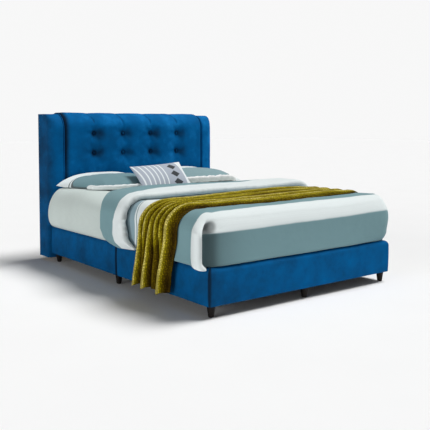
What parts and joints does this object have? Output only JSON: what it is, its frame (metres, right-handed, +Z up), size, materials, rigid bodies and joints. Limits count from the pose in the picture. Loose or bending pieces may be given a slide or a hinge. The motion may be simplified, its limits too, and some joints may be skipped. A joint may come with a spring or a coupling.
{
  "type": "wingback bed",
  "caption": "Upholstered divan bed with a button-tufted wing headboard, mattress, bedding, pillows, scatter cushion and a knitted throw.",
  "frame": {"origin": "on the floor under the middle of the overall box", "axes": "+X across the bed to the right as seen from the foot, +Y from foot to headboard, +Z up"},
  "size_m": [1.661, 2.218, 1.16],
  "materials": {
    "dark_stained_wood": "satin",
    "zinc_steel": "satin",
    "black_plastic": "matte",
    "blue_velvet": "velvet",
    "velvet_trim": "velvet",
    "black_backing_cloth": "matte",
    "upholstery_foam": "matte",
    "sawn_pine": "matte",
    "plywood": "matte",
    "twine": "matte",
    "ticking": "matte",
    "pocket_springs": "matte",
    "fitted_sheet_cotton": "matte",
    "duvet_cotton": "matte",
    "mustard_knit": "matte",
    "pillow_cotton": "matte",
    "cushion_linen": "matte"
  },
  "bodies": {
    "bed": {"base_link_plates": "zinc_steel", "button_ties": "twine", "centre_left_leg": "dark_stained_wood", "centre_middle_leg": "dark_stained_wood", "centre_right_leg": "dark_stained_wood", "foot_base_cover": "blue_velvet", "foot_base_deck": "plywood", "foot_base_dust_cover": "black_backing_cloth", "foot_base_frame": "sawn_pine", "foot_base_leg_blocks": "sawn_pine", "foot_base_padding": "upholstery_foam", "front_left_leg": "dark_stained_wood", "front_middle_leg": "dark_stained_wood", "front_right_leg": "dark_stained_wood", "head_base_cover": "blue_velvet", "head_base_deck": "plywood", "head_base_dust_cover": "black_backing_cloth", "head_base_frame": "sawn_pine", "head_base_leg_blocks": "sawn_pine", "head_base_padding": "upholstery_foam", "head_left_leg": "dark_stained_wood", "head_middle_leg": "dark_stained_wood", "head_right_leg": "dark_stained_wood", "headboard_back_cover": "black_backing_cloth", "headboard_bolts": "zinc_steel", "headboard_frame": "sawn_pine", "headboard_front_board": "plywood", "headboard_nuts": "zinc_steel", "headboard_panel_cover": "blue_velvet", "headboard_panel_foam": "upholstery_foam", "headboard_washers": "zinc_steel", "left_wing_cover": "blue_velvet", "left_wing_foam": "upholstery_foam", "left_wing_piping": "velvet_trim", "left_wing_ribs": "plywood", "leg_glides": "black_plastic", "leg_hanger_bolts": "zinc_steel", "link_plate_screws": "zinc_steel", "right_wing_cover": "blue_velvet", "right_wing_foam": "upholstery_foam", "right_wing_piping": "velvet_trim", "right_wing_ribs": "plywood", "tie_anchors": "zinc_steel", "tuft_buttons": "velvet_trim"},
    "mattress": {"fitted_sheet": "fitted_sheet_cotton", "mattress_base_pad": "upholstery_foam", "mattress_edge_foam": "upholstery_foam", "mattress_spring_unit": "pocket_springs", "mattress_ticking": "ticking", "mattress_top_foam": "upholstery_foam"},
    "duvet": {"duvet": "duvet_cotton"},
    "throw": {"throw": "mustard_knit"},
    "left_pillow": {"left_pillow": "pillow_cotton"},
    "right_pillow": {"right_pillow": "pillow_cotton"},
    "scatter_cushion": {"scatter_cushion": "cushion_linen"}
  },
  "joints": [
    {"name": "mattress_lift", "type": "slide", "parent": "bed", "child": "mattress", "axis": [0, 0, 1], "range_m": [0, 0.25]},
    {"name": "duvet_lift", "type": "slide", "parent": "mattress", "child": "duvet", "axis": [0, 0, 1], "range_m": [0, 0.3]},
    {"name": "throw_lift", "type": "slide", "parent": "duvet", "child": "throw", "axis": [0, 0, 1], "range_m": [0, 0.3]},
    {"name": "left_pillow_pull", "type": "slide", "parent": "mattress", "child": "left_pillow", "axis": [-1, 0, 0], "range_m": [0, 0.25]},
    {"name": "right_pillow_pull", "type": "slide", "parent": "mattress", "child": "right_pillow", "axis": [1, 0, 0], "range_m": [0, 0.25]},
    {"name": "cushion_lift", "type": "slide", "parent": "mattress", "child": "scatter_cushion", "axis": [0, 0, 1], "range_m": [0, 0.3]}
  ]
}
